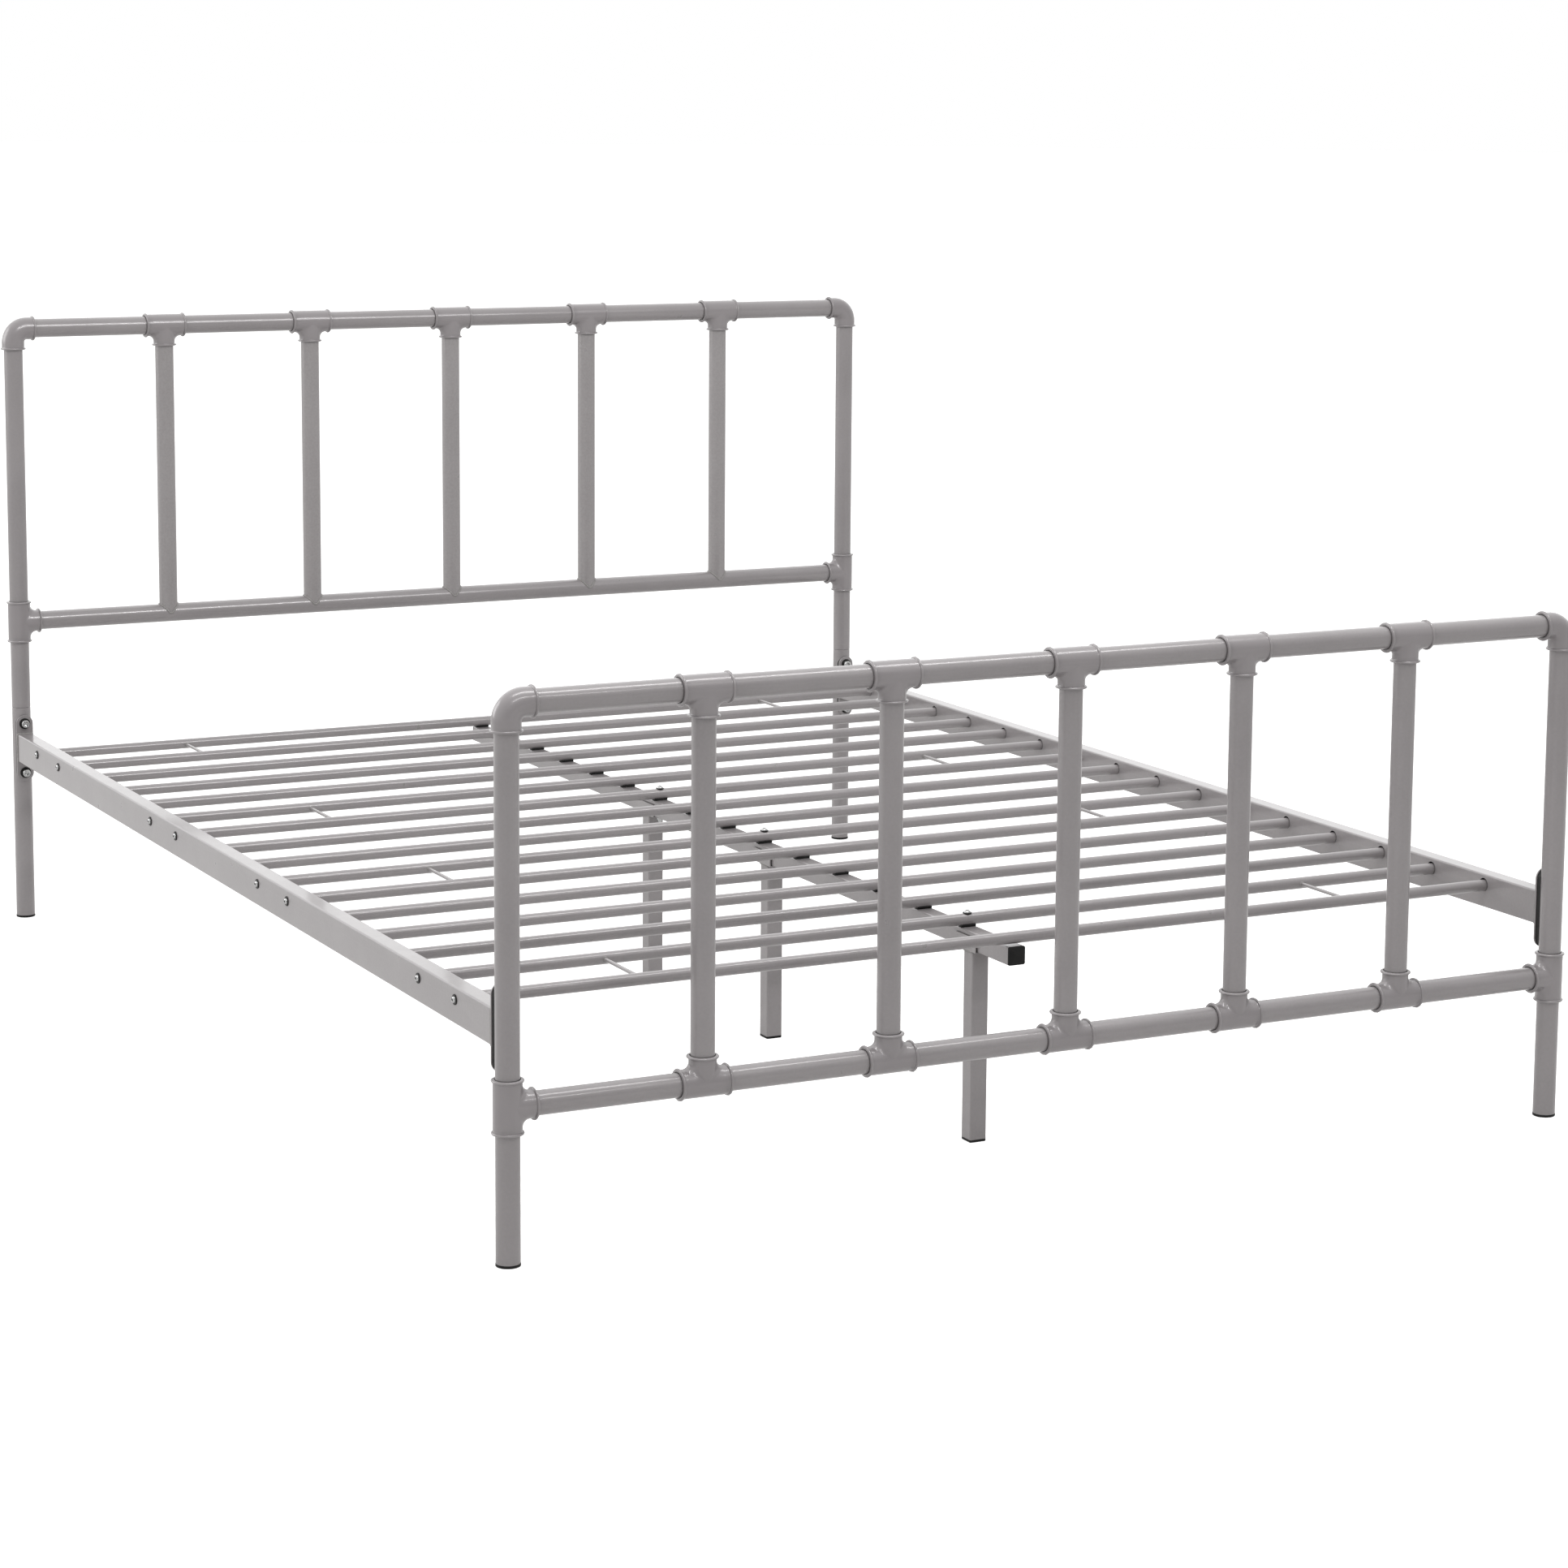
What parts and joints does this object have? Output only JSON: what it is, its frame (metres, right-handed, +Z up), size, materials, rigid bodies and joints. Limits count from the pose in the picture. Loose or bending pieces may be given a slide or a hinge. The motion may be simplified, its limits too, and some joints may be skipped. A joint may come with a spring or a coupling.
{
  "type": "metal bed frame",
  "caption": "Tubular metal bed frame with a tall spindle headboard, a low spindle footboard, side rails, round cross slats and a legged centre rail.",
  "frame": {"origin": "on the floor, under the middle of the frame's bounding box", "axes": "+X across the bed to the right seen from the foot end, +Y towards the headboard, +Z up"},
  "size_m": [1.5908, 2.1406, 1.0104],
  "materials": {
    "grey_paint": "satin powder coat, warm mid grey",
    "black_plastic": "matte",
    "bright_steel": "zinc plated",
    "black_steel": "black oxide"
  },
  "bodies": {
    "root": {"centre_bolt_nuts": "bright_steel", "centre_bolt_washers": "black_steel", "centre_bolts": "bright_steel", "centre_leg_1": "grey_paint", "centre_leg_2": "grey_paint", "centre_leg_3": "grey_paint", "centre_leg_4": "grey_paint", "centre_leg_caps": "black_plastic", "centre_rail": "grey_paint", "centre_rail_caps": "black_plastic", "foot_bottom_rail": "grey_paint", "foot_elbows": "grey_paint", "foot_post_left": "grey_paint", "foot_post_right": "grey_paint", "foot_post_tees": "grey_paint", "foot_spindle_1": "grey_paint", "foot_spindle_2": "grey_paint", "foot_spindle_3": "grey_paint", "foot_spindle_4": "grey_paint", "foot_spindle_5": "grey_paint", "foot_tees": "grey_paint", "foot_top_rail": "grey_paint", "head_bottom_rail": "grey_paint", "head_elbows": "grey_paint", "head_leg_left": "grey_paint", "head_leg_right": "grey_paint", "head_post_left": "grey_paint", "head_post_right": "grey_paint", "head_post_tees": "grey_paint", "head_spindle_1": "grey_paint", "head_spindle_2": "grey_paint", "head_spindle_3": "grey_paint", "head_spindle_4": "grey_paint", "head_spindle_5": "grey_paint", "head_tees": "grey_paint", "head_top_rail": "grey_paint", "post_foot_caps": "black_plastic", "post_nuts": "bright_steel", "rail_bolt_washers": "black_steel", "rail_bolts": "bright_steel", "rail_end_plates": "grey_paint", "rail_saddles": "black_plastic", "side_rail_left": "grey_paint", "side_rail_right": "grey_paint", "slat_03": "grey_paint", "slat_04": "grey_paint", "slat_05": "grey_paint", "slat_08": "grey_paint", "slat_09": "grey_paint", "slat_12": "grey_paint", "slat_13": "grey_paint", "slat_14": "grey_paint", "slat_end_inserts": "bright_steel", "slat_pads": "black_plastic", "slat_screw_washers": "black_steel", "slat_screws": "bright_steel", "tied_slats_1": "grey_paint", "tied_slats_2": "grey_paint", "tied_slats_3": "grey_paint", "tied_slats_4": "grey_paint"}
  },
  "joints": []
}
